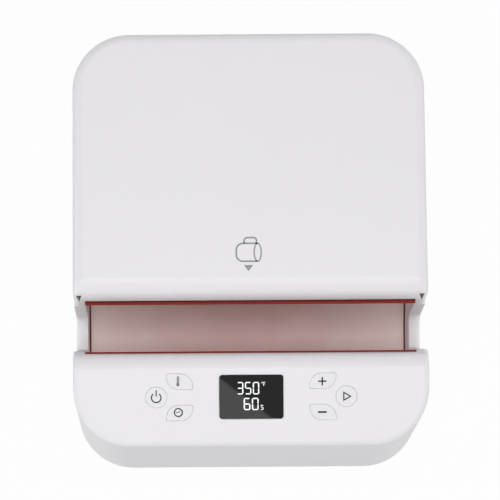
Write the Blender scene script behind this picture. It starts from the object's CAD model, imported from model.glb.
"""Mug heat press: its dressed pieces, its finishes, the studio around it and the camera.

All sizes are in millimetres until a mesh is made, which is in metres. X runs left to right,
Y from the user to the back, and Z up from the table.
"""

from __future__ import annotations

import logging
import math
from collections.abc import Callable, Iterable, Sequence
from dataclasses import dataclass, field
from enum import Enum
from functools import cache

import bmesh
import bpy
from mathutils import Matrix, Quaternion, Vector

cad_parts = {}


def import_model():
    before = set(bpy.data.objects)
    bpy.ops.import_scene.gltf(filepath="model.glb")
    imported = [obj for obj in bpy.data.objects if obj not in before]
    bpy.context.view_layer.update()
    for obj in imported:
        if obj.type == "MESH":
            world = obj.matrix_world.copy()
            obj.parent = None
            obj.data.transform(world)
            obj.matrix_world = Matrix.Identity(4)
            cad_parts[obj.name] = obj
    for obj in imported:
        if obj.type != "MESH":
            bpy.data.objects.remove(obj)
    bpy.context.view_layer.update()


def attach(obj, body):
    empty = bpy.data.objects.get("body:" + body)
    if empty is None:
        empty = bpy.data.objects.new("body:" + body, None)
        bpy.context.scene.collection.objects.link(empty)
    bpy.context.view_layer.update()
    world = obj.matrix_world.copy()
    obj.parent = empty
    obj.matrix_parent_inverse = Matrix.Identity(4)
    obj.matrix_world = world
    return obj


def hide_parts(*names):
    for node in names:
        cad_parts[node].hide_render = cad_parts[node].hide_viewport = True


LOG = logging.getLogger("mug_press")

MM = 0.001
PER_METRE = 1000.0
FAR = 200.0  # Beyond the press on every side.
CORE = 0.02  # The radius at which a turned solid closes at its ends.
WELD = 0.0005  # Points that lie closer than this become one.
LEAST_RADIUS = 0.05
RIM_STEPS = 8  # How many parts a rounding has.
BORE = 41.5  # The radius inside the closed lining.
AXIS_Y, AXIS_Z = -44.2, 68.0  # The mug's axis, which runs across.
LIP_Y = -30.7  # The front of the lid.
CHEEK_INNER = 82.4  # From the middle to the inner face of a cheek.
FLOOR_LEVEL = 6.9  # Where the parts in the tub stand, just over the base plate.
WHITE = (1.0, 1.0, 1.0, 1.0)

Point = tuple[float, float, float]
Colour = tuple[float, float, float, float]
Flat = tuple[float, float]
Ring = list[Point]
Outline = list[Flat]
Shape = Callable[[float], Outline]
Place = Callable[[float, float, float], Point]
Height = Callable[[float], float]
Piece = bpy.types.Object
Socket = bpy.types.NodeSocket


# Mesh making.


class Draft:
    """A mesh in the making: points and faces in millimetres."""

    def __init__(self) -> None:
        """Starts empty."""
        self.points: list[Point] = []
        self.faces: list[tuple[int, ...]] = []

    def add(self, points: Iterable[Point], faces: Iterable[Sequence[int]]) -> None:
        """Adds a shell of its own.

        Args:
            points: its points.
            faces: its faces, which count from the shell's first point.
        """
        first = len(self.points)
        self.points.extend(points)
        self.faces.extend(tuple(first + i for i in face) for face in faces)

    def skin(self, rings: Sequence[Ring], closed: bool = False, caps: bool = True) -> Draft:
        """Covers a row of rings that all have the same count of points.

        Args:
            rings: the rings, in order.
            closed: whether the last ring joins the first, as in a hollow tube.
            caps: whether the two ends get a face each.

        Returns:
            The draft itself.
        """
        around = len(rings[0])
        faces: list[tuple[int, ...]] = []
        for level in range(len(rings) if closed else len(rings) - 1):
            low, high = level * around, (level + 1) % len(rings) * around
            for i in range(around):
                j = (i + 1) % around
                faces.append((low + i, low + j, high + j, high + i))
        if caps and not closed:
            faces.append(tuple(reversed(range(around))))
            faces.append(tuple((len(rings) - 1) * around + i for i in range(around)))
        self.add([point for ring in rings for point in ring], faces)
        return self

    def prism(self, outline: Outline, low: float, high: float,
              place: Place = lambda u, v, w: (u, v, w)) -> Draft:
        """Runs a flat outline from one level to another, where place gives its points."""
        return self.skin([[place(u, v, level) for u, v in outline] for level in (low, high)])

    def turned(self, profile: Sequence[Flat], centre: Point, axis: Axis, steps: int = 48,
               hollow: bool = False) -> Draft:
        """Turns a profile of radius and place about a line, closed in itself where it is hollow."""
        rings = [axis.ring(radius, centre, along, steps) for radius, along in profile]
        return self.skin(rings, hollow)

    def ribbon(self, line: Outline, width: float, low: float, high: float, place: Place,
               closed: bool = False) -> Draft:
        """Draws a line of even width as a thin raised band.

        Args:
            line: the middle of the band.
            width: the band's width.
            low: the level of its underside.
            high: the level of its face.
            place: turns across, along and level into a point of the press.
            closed: whether the line ends where it starts.

        Returns:
            The draft itself.
        """
        count = len(line)
        rings: list[Ring] = []
        for i, here in enumerate(line):
            before = line[i - 1] if closed or i else here
            after = line[(i + 1) % count] if closed or i + 1 < count else here
            first = Vector((here[0] - before[0], here[1] - before[1]))
            second = Vector((after[0] - here[0], after[1] - here[1]))
            first = (first if first.length else second).normalized()
            second = second.normalized() if second.length else first
            side = Vector((-first.y - second.y, first.x + second.x)).normalized()
            reach = width / 2 / max(side.dot(Vector((-first.y, first.x))), 0.5)
            left, right = ((here[0] + side.x * way, here[1] + side.y * way)
                           for way in (reach, -reach))
            rings.append([place(*left, high), place(*right, high),
                          place(*right, low), place(*left, low)])
        return self.skin(rings, closed=closed)

    def plate(self, outline: Shape, low: float, high: float, edge: float,
              place: Place = lambda u, v, w: (u, v, w)) -> Draft:
        """Runs an outline between two levels and takes an edge off both rims."""
        levels = ((edge, low), (0.0, low + edge), (0.0, high - edge), (edge, high))
        return self.skin([[place(u, v, level) for u, v in outline(-inset)]
                          for inset, level in levels])

    def head(self, centre: Point, axis: Axis) -> Draft:
        """Adds a socket screw's head that stands on a point."""
        profile = solid((2.6, 0.0), (2.6, 1.85), (2.21, 2.2), (1.17, 2.2), (1.07, 0.88))
        return self.turned(profile, centre, axis, 24)

    def box(self, low: Point, high: Point) -> Draft:
        """Adds a block between two corners, as a working shape for a cut."""
        (x0, y0, z0), (x1, y1, z1) = low, high
        return self.prism([(x0, y0), (x1, y0), (x1, y1), (x0, y1)], z0, z1)

    def block(self, low: Point, high: Point, edge: float) -> Draft:
        """Adds a block with rounded upright edges and rounded rims.

        Args:
            low: its lowest corner.
            high: its highest corner.
            edge: the radius of its edges.

        Returns:
            The draft itself.
        """
        steps = 3
        x, y = (low[0] + high[0]) / 2, (low[1] + high[1]) / 2
        wide, long = high[0] - low[0], high[1] - low[1]

        def level(inset: float, z: float) -> Ring:
            radius = max(edge - inset, LEAST_RADIUS)
            flat = rounded_box(x, y, wide - 2 * inset, long - 2 * inset, radius, steps)
            return [(*point, z) for point in flat]

        rounding = [(edge * (1 - math.cos(t)), edge * (1 - math.sin(t))) for t in quarter(steps)]
        rings = [level(inset, low[2] + rise) for rise, inset in rounding]
        return self.skin(rings + [level(inset, high[2] - drop) for inset, drop in rounding])

    def piece(self, name: str) -> Piece:
        """Makes the Blender object.

        Args:
            name: the piece's name.

        Returns:
            The new object, with its faces turned outwards.
        """
        mesh = bpy.data.meshes.new(name)
        mesh.from_pydata([(x * MM, y * MM, z * MM) for x, y, z in self.points], [], self.faces)
        work = bmesh.new()
        work.from_mesh(mesh)
        bmesh.ops.remove_doubles(work, verts=work.verts, dist=WELD * MM)
        bmesh.ops.dissolve_degenerate(work, edges=work.edges, dist=WELD * MM)
        bmesh.ops.recalc_face_normals(work, faces=work.faces)
        work.to_mesh(mesh)
        work.free()
        obj = bpy.data.objects.new(name, mesh)
        bpy.context.scene.collection.objects.link(obj)
        return obj

    def dress(self, name: str, finish: Finish, body: str, *nodes: str, angle: float | None = 30.0,
              weighted: bool = True) -> Piece:
        """Makes the piece and dresses it, see the function dress."""
        return dress(self.piece(name), finish, body, *nodes, angle=angle, weighted=weighted)


class Axis(Enum):
    """The direction of a turned piece's line."""

    ACROSS = "x"
    ALONG = "y"
    UPRIGHT = "z"

    def ring(self, radius: float, centre: Point, along: float, steps: int) -> Ring:
        """Points of a circle about the line.

        Args:
            radius: the circle's radius.
            centre: a point of the line.
            along: the circle's distance from that point.
            steps: how many points it gets.

        Returns:
            The points, in order.
        """
        points: Ring = []
        x, y, z = centre
        for step in range(steps):
            turn = 2 * math.pi * step / steps
            a, b = radius * math.cos(turn), radius * math.sin(turn)
            points.append({
                Axis.ACROSS: (x + along, y + a, z + b),
                Axis.ALONG: (x + a, y + along, z + b),
                Axis.UPRIGHT: (x + a, y + b, z + along),
            }[self])
        return points


def spread(start: float, end: float, steps: int) -> list[float]:
    """Evenly spaced values from a start to an end, both included."""
    return [start + (end - start) * step / steps for step in range(steps + 1)]


def quarter(steps: int) -> list[float]:
    """The angles of a quarter turn, from nothing up."""
    return spread(0.0, math.pi / 2, steps)


def arc(x: float, y: float, radius: float, start: float, end: float, steps: int) -> Outline:
    """Points of an arc between two angles in degrees."""
    return [(x + radius * math.cos(turn), y + radius * math.sin(turn))
            for turn in spread(math.radians(start), math.radians(end), steps)]


def rounded_box(x: float, y: float, wide: float, long: float, radii: float | Sequence[float],
                steps: int = RIM_STEPS) -> Outline:
    """A rectangle with rounded corners, counterclockwise from lower left.

    Args:
        x: its centre, across.
        y: its centre, along.
        wide: its width.
        long: its length.
        radii: the radius, or that of each corner.
        steps: how many parts each corner has.

    Returns:
        The closed outline.
    """
    if isinstance(radii, float):
        radii = (radii,) * 4
    outline: Outline = []
    corners = ((-1, -1, 180), (1, -1, 270), (1, 1, 0), (-1, 1, 90))
    for (sx, sy, start), radius in zip(corners, radii):
        outline += arc(x + sx * (wide / 2 - radius), y + sy * (long / 2 - radius), radius,
                       start, start + 90, steps)
    return outline


def frame_outline(x: float, y: float, wide: float, long: float, radius: float) -> Shape:
    """A rounded rectangle that can be asked for with a margin."""
    return lambda grow: rounded_box(x, y, wide + 2 * grow, long + 2 * grow,
                                    max(radius + grow, LEAST_RADIUS), 6)


def facing(u: float, v: float, w: float) -> Point:
    """Places an outline that faces the front: across, up, and from front to back."""
    return u, w, v


def solid(*profile: Flat) -> Outline:
    """A profile of radius and place, led to the line at both ends."""
    return [(CORE, profile[0][1]), *profile, (CORE, profile[-1][1])]


def bar(radius: float, low: float, high: float, edge: float) -> Outline:
    """The profile of a round bar with its rims taken off."""
    return solid((radius - edge, low), (radius, low + edge),
                 (radius, high - edge), (radius - edge, high))


def bore_cut(radius: float, x: float, z: float, low: float, high: float) -> Draft:
    """A cutter for a bore from front to back that takes the edge off both rims."""
    edge = 0.4
    profile = solid((radius + edge, low - 1), (radius + edge, low), (radius, low + edge),
                    (radius, high - edge), (radius + edge, high), (radius + edge, high + 1))
    return Draft().turned(profile, (x, 0.0, z), Axis.ALONG)


def settle(obj: Piece) -> Piece:
    """Gives an object the mesh that its modifiers make, and drops the modifiers."""
    bpy.context.view_layer.update()
    evaluated = obj.evaluated_get(bpy.context.evaluated_depsgraph_get())
    mesh = bpy.data.meshes.new_from_object(evaluated)
    spare = obj.data
    obj.modifiers.clear()
    obj.data = mesh
    mesh.name = obj.name
    bpy.data.meshes.remove(spare)
    return obj


class Cut(Enum):
    """How one solid works on another."""

    AWAY = "DIFFERENCE"
    SHARED = "INTERSECT"
    JOINED = "UNION"


def carve(obj: Piece, other: Draft | Piece, how: Cut = Cut.AWAY, keep: bool = False) -> Piece:
    """Cuts, trims or joins one solid with another.

    Args:
        obj: the solid that is changed.
        other: the solid that works on it, or its draft.
        how: what happens.
        keep: whether the other solid is still needed.

    Returns:
        The changed solid.
    """
    if isinstance(other, Draft):
        other = other.piece("working_shape")
    modifier = obj.modifiers.new("carve", "BOOLEAN")
    modifier.operation = how.value
    modifier.object = other
    modifier.solver = "MANIFOLD"
    settle(obj)
    if not keep:
        bpy.data.objects.remove(other)
    return obj


def smooth(obj: Piece, angle: float, weighted: bool) -> None:
    """Shades a mesh smoothly, apart from its sharp edges.

    Args:
        obj: the piece.
        angle: edges sharper than this many degrees stay sharp.
        weighted: whether large faces keep their own direction at their edges.
    """
    mesh = obj.data
    mesh.polygons.foreach_set("use_smooth", [True] * len(mesh.polygons))
    mesh.set_sharp_from_angle(angle=math.radians(angle))
    if weighted:
        modifier = obj.modifiers.new("weights", "WEIGHTED_NORMAL")
        modifier.keep_sharp = True
        modifier.weight = 50
        settle(obj)


def soften(obj: Piece, width: float) -> Piece:
    """Rounds the sharp edges of a piece.

    Args:
        obj: the piece.
        width: the rounding's width in millimetres.

    Returns:
        The piece.
    """
    modifier = obj.modifiers.new("edges", "BEVEL")
    modifier.width = width * MM
    modifier.segments = 2
    modifier.limit_method = "ANGLE"
    modifier.angle_limit = math.radians(40.0)
    modifier.harden_normals = False
    return settle(obj)


def dress(obj: Piece, finish: Finish, body: str, *nodes: str, angle: float | None = 30.0,
          weighted: bool = True) -> Piece:
    """Shades and finishes a piece, puts it on its body, and says which solids it stands for.

    Args:
        obj: the piece.
        finish: its material's maker.
        body: the body that it moves with.
        *nodes: the solids that it replaces.
        angle: edges sharper than this stay sharp. None leaves all of them sharp.
        weighted: whether large faces keep their own direction at their edges.

    Returns:
        The piece.
    """
    if angle is not None:
        smooth(obj, angle, weighted)
    obj.data.materials.clear()
    obj.data.materials.append(finish.material())
    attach(obj, body)
    if nodes:
        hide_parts(*nodes)
    LOG.info("%s: %d faces, %s, on %s", obj.name, len(obj.data.polygons), finish.name, body)
    return obj


# Shader effects that several finishes share.


class Effect:
    """A shader node group with named sockets, built once and placed in many materials."""

    def __init__(self, name: str, inputs: dict[str, float], outputs: Sequence[str]) -> None:
        """Makes the group with its sockets.

        Args:
            name: the group's name.
            inputs: the usual value of each input.
            outputs: the names of its outputs, each a height or a mask.
        """
        self.tree = bpy.data.node_groups.new(name, "ShaderNodeTree")
        for label in (*inputs, *outputs):
            way = "INPUT" if label in inputs else "OUTPUT"
            socket = self.tree.interface.new_socket(label, in_out=way,
                                                    socket_type="NodeSocketFloat")
            socket.default_value = inputs.get(label, 0.0)
        self.given = self.tree.nodes.new("NodeGroupInput").outputs
        self.results = self.tree.nodes.new("NodeGroupOutput").inputs
        self.place = self.node("ShaderNodeTexCoord").outputs["Object"]

    def node(self, kind: str, values: dict[str | int, object] | None = None,
             **settings: object) -> bpy.types.Node:
        """Adds a node, see the function add_node."""
        return add_node(self.tree, kind, values, **settings)

    def math(self, operation: str, *values: object) -> Socket:
        """Adds a sum of one to three values and returns its result."""
        return self.node("ShaderNodeMath", dict(enumerate(values)), operation=operation).outputs[0]

    def scale(self, label: str) -> Socket:
        """The texture scale that an input in millimetres stands for."""
        return self.math("DIVIDE", PER_METRE, self.given[label])

    def noise(self, scale: float | Socket, detail: float, roughness: float = 0.5,
              place: Socket | None = None) -> Socket:
        """Adds a noise and returns its value.

        Args:
            scale: the noise's scale.
            detail: how many octaves it has.
            roughness: how strong each further octave is.
            place: where it is read, if not at the point of the piece.

        Returns:
            The value, about one half.
        """
        return self.node("ShaderNodeTexNoise", {
            "Vector": self.place if place is None else place, "Scale": scale, "Detail": detail,
            "Roughness": roughness}).outputs[0]

    def give(self, label: str, socket: Socket) -> None:
        """Links a result to one of the group's outputs."""
        self.tree.links.new(socket, self.results[label])


def add_node(tree: bpy.types.NodeTree, kind: str, values: dict[str | int, object] | None = None,
             **settings: object) -> bpy.types.Node:
    """Adds a node to a tree.

    Args:
        tree: the tree.
        kind: the node's type.
        values: what its inputs hold, or the socket that each is linked to.
        **settings: properties of the node.

    Returns:
        The node.
    """
    node = tree.nodes.new(kind)
    for label, value in settings.items():
        setattr(node, label, value)
    for key, value in (values or {}).items():
        if isinstance(value, Socket):
            tree.links.new(value, node.inputs[key])
        else:
            node.inputs[key].default_value = value
    return node


def moulded_grain() -> Effect:
    """The fine spark-eroded grain of moulded parts, with a slow drift of tone."""
    effect = Effect("moulded_grain", {"Grain": 0.45, "Drift": 60.0}, ("Height", "Tone"))
    fine = effect.scale("Grain")
    pits = effect.node("ShaderNodeTexVoronoi", {"Vector": effect.place, "Scale": fine},
                       feature="F1")
    depth = effect.math("MULTIPLY", pits.outputs["Distance"], 0.5)
    effect.give("Height", effect.math("ADD", effect.noise(fine, 3.0, 0.6), depth))
    effect.give("Tone", effect.noise(effect.scale("Drift"), 2.0))
    return effect


def bore_cloth() -> Effect:
    """A plain weave laid round the mug's axis, with faint slack and a flush towards the middle."""
    effect = Effect("bore_cloth",
                    {"Thread": 0.7, "Axis Y": AXIS_Y, "Axis Z": AXIS_Z, "Reach": 80.0},
                    ("Height", "Tone"))
    given, calc = effect.given, effect.math
    parts = effect.node("ShaderNodeSeparateXYZ", {0: effect.place}).outputs
    across, y, z = (calc("MULTIPLY", part, PER_METRE) for part in parts)
    turn = calc("ARCTAN2", calc("SUBTRACT", z, given["Axis Z"]),
                calc("SUBTRACT", y, given["Axis Y"]))
    step = calc("DIVIDE", math.pi, given["Thread"])
    around = calc("MULTIPLY", turn, BORE)
    weave = calc("MULTIPLY", *(calc("SINE", calc("MULTIPLY", way, step))
                               for way in (around, across)))
    slack = effect.noise(60.0, 2.0)
    effect.give("Height", calc("ADD", calc("MULTIPLY", weave, 0.25), calc("MULTIPLY", slack, 1.2)))
    ends = calc("POWER", calc("DIVIDE", calc("ABSOLUTE", across), given["Reach"]), 1.4)
    fine = calc("MULTIPLY_ADD", weave, 0.04, calc("MULTIPLY", slack, 0.3))
    effect.give("Tone", calc("MULTIPLY_ADD", ends, 0.75, fine))
    return effect


def brushed_lines() -> Effect:
    """Fine parallel lines, as left by brushing, drawing or turning."""
    effect = Effect("brushed_lines", {"Across": 3.0, "Along": 0.05, "Up": 3.0}, ("Height", "Tone"))
    given = dict(enumerate(list(effect.given)[:3]))
    stretch = effect.node("ShaderNodeCombineXYZ", given).outputs[0]
    lines = effect.node("ShaderNodeVectorMath", {0: effect.place, 1: stretch}, operation="MULTIPLY")
    fine = effect.noise(PER_METRE, 3.0, place=lines.outputs[0])
    broad = effect.noise(120.0, 2.0, place=lines.outputs[0])
    effect.give("Height", fine)
    effect.give("Tone", effect.math("MULTIPLY_ADD", fine, 0.5, effect.math("MULTIPLY", broad, 0.5)))
    return effect


def board_tracks() -> Effect:
    """Copper tracks under green lacquer."""
    effect = Effect("board_tracks", {"Track": 2.2}, ("Height", "Mask"))
    values = {"Vector": effect.place, "Scale": effect.scale("Track"), "Randomness": 0.35}
    cells = effect.node("ShaderNodeTexVoronoi", values, feature="F1", distance="CHEBYCHEV")
    mask = effect.math("GREATER_THAN", cells.outputs["Distance"], 0.36)
    effect.give("Mask", mask)
    effect.give("Height", mask)
    return effect


def skin_marks() -> Effect:
    """The faint cloudiness and dust of silicone and rubber."""
    effect = Effect("skin_marks", {"Cloud": 9.0}, ("Height", "Tone"))
    effect.give("Height", effect.noise(2600.0, 2.0))
    effect.give("Tone", effect.noise(effect.scale("Cloud"), 5.0, 0.7))
    return effect


@cache
def effect_tree(make: Callable[[], Effect]) -> bpy.types.NodeTree:
    """The shared node group of an effect, built when it is first asked for."""
    return make().tree


# Finishes.


def linear(colour: Sequence[int]) -> Colour:
    """Turns a colour as seen on a screen, 0 to 255, into the shader's values."""
    def channel(value: int) -> float:
        share = value / 255
        return share / 12.92 if share <= 0.04045 else ((share + 0.055) / 1.055) ** 2.4

    red, green, blue = (channel(value) for value in colour)
    return red, green, blue, 1.0


@dataclass(frozen=True)
class Finish:
    """What every finish has: its slot, its colour and gloss, and the effect on its surface.

    The values are the effect's inputs in their order, and its depth is in millimetres. Tone and
    gloss say how far the effect moves the colour and the roughness.
    """

    name: str
    slot: str
    colour: tuple[int, int, int]
    roughness: float
    specular: float = 0.5
    metallic: float = 0.0
    sheen: float = 0.0
    emission: float = 0.0
    effect: Callable[[], Effect] = moulded_grain
    values: tuple[float, ...] = (0.45, 60.0)
    depth: float = 0.006
    tone: float = 0.012
    gloss: float = 0.05

    def tones(self) -> tuple[Colour, Colour]:
        """The darkest and the palest colour of the finish, as the shader's values."""
        base = linear(self.colour)[:3]
        dark, light = ([min(channel * (1 + way * self.tone), 1.0) for channel in base]
                       for way in (-1, 1))
        return (*dark, 1.0), (*light, 1.0)

    def material(self) -> bpy.types.Material:
        """The material, built when it is first asked for."""
        found = bpy.data.materials.get(self.name)
        if found is not None:
            return found
        material = bpy.data.materials.new(self.name)
        material.use_nodes = True
        tree = material.node_tree
        shader = tree.nodes["Principled BSDF"]
        values = {"Metallic": self.metallic, "Specular IOR Level": self.specular,
                  "Sheen Weight": self.sheen, "Emission Color": linear(self.colour),
                  "Emission Strength": self.emission}
        for label, value in values.items():
            shader.inputs[label].default_value = value
        material.diffuse_color = linear(self.colour)
        self.wire(tree, shader)
        return material

    def wire(self, tree: bpy.types.NodeTree, shader: bpy.types.Node) -> None:
        """Links the effect to the shader's colour, roughness and normal.

        Args:
            tree: the material's nodes.
            shader: its Principled BSDF.
        """
        group = add_node(tree, "ShaderNodeGroup", node_tree=effect_tree(self.effect))
        for socket, value in zip(group.inputs, self.values):
            socket.default_value = value
        height, mask = group.outputs
        dark, light = self.tones()
        colour = add_node(tree, "ShaderNodeMix", {"Factor": mask, "A": dark, "B": light},
                          data_type="RGBA")
        rough = add_node(tree, "ShaderNodeMapRange", {
            "Value": mask, "To Min": max(self.roughness - self.gloss, 0.005),
            "To Max": min(self.roughness + self.gloss, 1.0)})
        bump = add_node(tree, "ShaderNodeBump", {
            "Height": height, "Distance": self.depth * MM, "Strength": 1.0})
        tree.links.new(colour.outputs["Result"], shader.inputs["Base Color"])
        tree.links.new(rough.outputs["Result"], shader.inputs["Roughness"])
        tree.links.new(bump.outputs["Normal"], shader.inputs["Normal"])


@dataclass(frozen=True)
class Moulded(Finish):
    """Moulded plastic with a fine grain."""


@dataclass(frozen=True)
class Pane(Finish):
    """Polished glass with a barely uneven face."""

    values: tuple[float, ...] = (6.0, 25.0)
    depth: float = 0.0001
    tone: float = 0.05
    gloss: float = 0.008


@dataclass(frozen=True)
class Cloth(Finish):
    """Coated cloth that lines the bore."""

    effect: Callable[[], Effect] = bore_cloth
    values: tuple[float, ...] = (0.7,)
    depth: float = 0.05
    gloss: float = 0.08
    pale: tuple[int, int, int] = (255, 237, 232)

    def tones(self) -> tuple[Colour, Colour]:
        """The cloth's own colour in the middle, and the paler one at its ends."""
        return linear(self.colour), linear(self.pale)


@dataclass(frozen=True)
class Skin(Finish):
    """Silicone or rubber."""

    effect: Callable[[], Effect] = skin_marks
    values: tuple[float, ...] = (9.0,)
    depth: float = 0.01
    tone: float = 0.08
    gloss: float = 0.08


@dataclass(frozen=True)
class Metal(Finish):
    """Brushed, drawn or turned metal. The lines run where the value for X, Y or Z is smallest."""

    metallic: float = 1.0
    effect: Callable[[], Effect] = brushed_lines
    values: tuple[float, ...] = (0.05, 3.0, 3.0)
    depth: float = 0.004
    tone: float = 0.08
    gloss: float = 0.08


@dataclass(frozen=True)
class Lacquer(Finish):
    """A printed circuit board's lacquer over its tracks."""

    effect: Callable[[], Effect] = board_tracks
    values: tuple[float, ...] = (2.2,)
    depth: float = 0.03
    tone: float = 0.3


HOUSING = Moulded("housing_plastic", "white_plastic", (229, 227, 230), 0.42, specular=0.35)
KEY_PLASTIC = Moulded("key_plastic", "button_plastic", (226, 224, 228), 0.38, specular=0.35)
GREY = Moulded("grey_plastic", "grey_plastic", (176, 174, 179), 0.5)
BLACK = Moulded("black_plastic", "black_plastic", (35, 35, 38), 0.45, tone=0.1)
GLASS = Pane("display_glass", "black_glass", (10, 10, 12), 0.015, specular=0.25)
RUBBER = Skin("foot_rubber", "rubber", (43, 43, 46), 0.8, specular=0.3)
SILICONE = Skin("mat_silicone", "red_silicone", (126, 33, 23), 0.6, specular=0.2)
LINING = Cloth("lining_cloth", "pink_cloth", (214, 178, 175), 0.62, specular=0.35, sheen=0.2)
ALUMINIUM = Metal("jaw_aluminium", "aluminium", (196, 199, 203), 0.38)
STEEL = Metal("rod_steel", "steel", (186, 190, 196), 0.22, values=(3.0, 0.05, 3.0))
DARK_STEEL = Metal("motor_steel", "dark_steel", (112, 116, 122), 0.35, values=(3.0, 0.05, 3.0))
BRASS = Metal("turned_brass", "brass", (178, 142, 76), 0.32, values=(0.2, 3.0, 0.2))
BOARD = Lacquer("board_lacquer", "circuit_board", (44, 92, 58), 0.4)
PRINT = Moulded("mark_print", "grey_plastic", (26, 24, 28), 0.5, specular=0.2)
LID_PRINT = Moulded("lid_print", "grey_plastic", (150, 148, 152), 0.5, specular=0.2)
LIT = Moulded("lit_digits", "white_plastic", (240, 242, 244), 0.35, specular=0.2, emission=0.3)
RIM = Moulded("window_rim", "white_plastic", (250, 250, 252), 0.3, specular=0.5)


# The outer form of the housing.


@dataclass(frozen=True)
class PlanPoint:
    """A point of the right half of a plan: on a corner's arc, or on the straight side."""

    x: float
    y: float
    radius: float
    turn: float

    def inset(self, amount: float) -> Flat:
        """The same point with the plan drawn in by an amount."""
        if self.radius == 0:
            return self.x - amount, self.y
        radius = max(self.radius - amount, 0.0)
        shift = max(amount - self.radius, 0.0)
        return (self.x - shift + radius * math.cos(self.turn),
                self.y + radius * math.sin(self.turn) + (-shift if self.turn > 0 else shift))


@dataclass(frozen=True)
class Level:
    """One ring of a lofted body: how far each point is drawn in, and its height."""

    inset: Callable[[PlanPoint], float]
    height: Height


@dataclass(frozen=True)
class Plan:
    """A rounded rectangle that is the same on both sides."""

    half_width: float = 88.1
    front: float = -103.4
    rear: float = 103.4
    front_radius: float = 28.5
    rear_radius: float = 28.5
    corner_steps: int = 28

    def half(self, places: Sequence[float] = ()) -> list[PlanPoint]:
        """Its right half from front to back.

        Args:
            places: extra places along the straight side.

        Returns:
            The points of the half.
        """
        def corner(radius: float, y: float, start: float) -> list[PlanPoint]:
            return [PlanPoint(self.half_width - radius, y, radius, start + turn)
                    for turn in quarter(self.corner_steps)]

        points = corner(self.front_radius, self.front + self.front_radius, -math.pi / 2)
        low, high = self.front + self.front_radius, self.rear - self.rear_radius
        points += [PlanPoint(self.half_width, y, 0.0, 0.0)
                   for y in sorted(places) if low < y < high]
        return points + corner(self.rear_radius, self.rear - self.rear_radius, 0.0)

    def loft(self, name: str, levels: Sequence[Level], places: Sequence[float] = ()) -> Piece:
        """A closed body through level rings, with strips across its two ends.

        Args:
            name: the piece's name.
            levels: its rings from the bottom up.
            places: extra places along the straight side.

        Returns:
            The body.
        """
        half = self.half(places)
        draft = Draft()
        rings: list[Ring] = []
        for level in levels:
            flat = [point.inset(level.inset(point)) for point in half]
            right = [(x, y, level.height(y)) for x, y in flat]
            rings.append(right + [(-x, y, z) for x, y, z in reversed(right)])
        count, around = len(half), 2 * len(half)
        draft.skin(rings, caps=False)
        last = (len(rings) - 1) * around
        for i in range(count - 1):
            mirror = around - 1 - i
            draft.faces.append((i + 1, i, mirror, mirror - 1))
            draft.faces.append((last + i, last + i + 1, last + mirror - 1, last + mirror))
        return draft.piece(name)


def even_level(inset: float, height: float) -> Level:
    """A level ring that is drawn in evenly."""
    return Level(lambda point: inset, lambda y: height)


def foot_levels(low: float, radius: float, inset: float = 0.0) -> list[Level]:
    """Rings of a rounded lower edge, from an underside up."""
    return [even_level(inset + radius * (1 - math.cos(turn)), low + radius * (1 - math.sin(turn)))
            for turn in reversed(quarter(RIM_STEPS))]


def rounded_levels(low: float, low_radius: float, high: Height, high_radius: Height) -> list[Level]:
    """Rings for a body with a rounded lower and upper edge.

    Args:
        low: the height of its underside.
        low_radius: the radius of its lower edge.
        high: the height of its top over a place.
        high_radius: the radius of its upper edge over a place.

    Returns:
        The rings from the bottom up.
    """
    levels = foot_levels(low, low_radius)
    for turn in quarter(RIM_STEPS):
        levels.append(Level(
            lambda point, t=turn: high_radius(point.y) * (1 - math.cos(t)),
            lambda y, t=turn: high(y) - high_radius(y) * (1 - math.sin(t))))
    return levels


@dataclass(frozen=True)
class DeckFrame:
    """The control deck's own directions: across, up the slope, and out of its surface."""

    front: float = -103.4
    front_height: float = 111.9966
    angle: float = math.atan2(8.5, 37.3)

    def place(self, u: float, v: float, w: float) -> Point:
        """A point of the press from its place on the deck."""
        cos, sin = math.cos(self.angle), math.sin(self.angle)
        return u, self.front + v * cos - w * sin, self.front_height + v * sin + w * cos

    def rings(self, levels: Iterable[tuple[Outline, float]], closed: bool = False) -> Draft:
        """A skin over outlines that each lie on a level of the deck."""
        return Draft().skin([[self.place(u, v, w) for u, v in line] for line, w in levels], closed)


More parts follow.
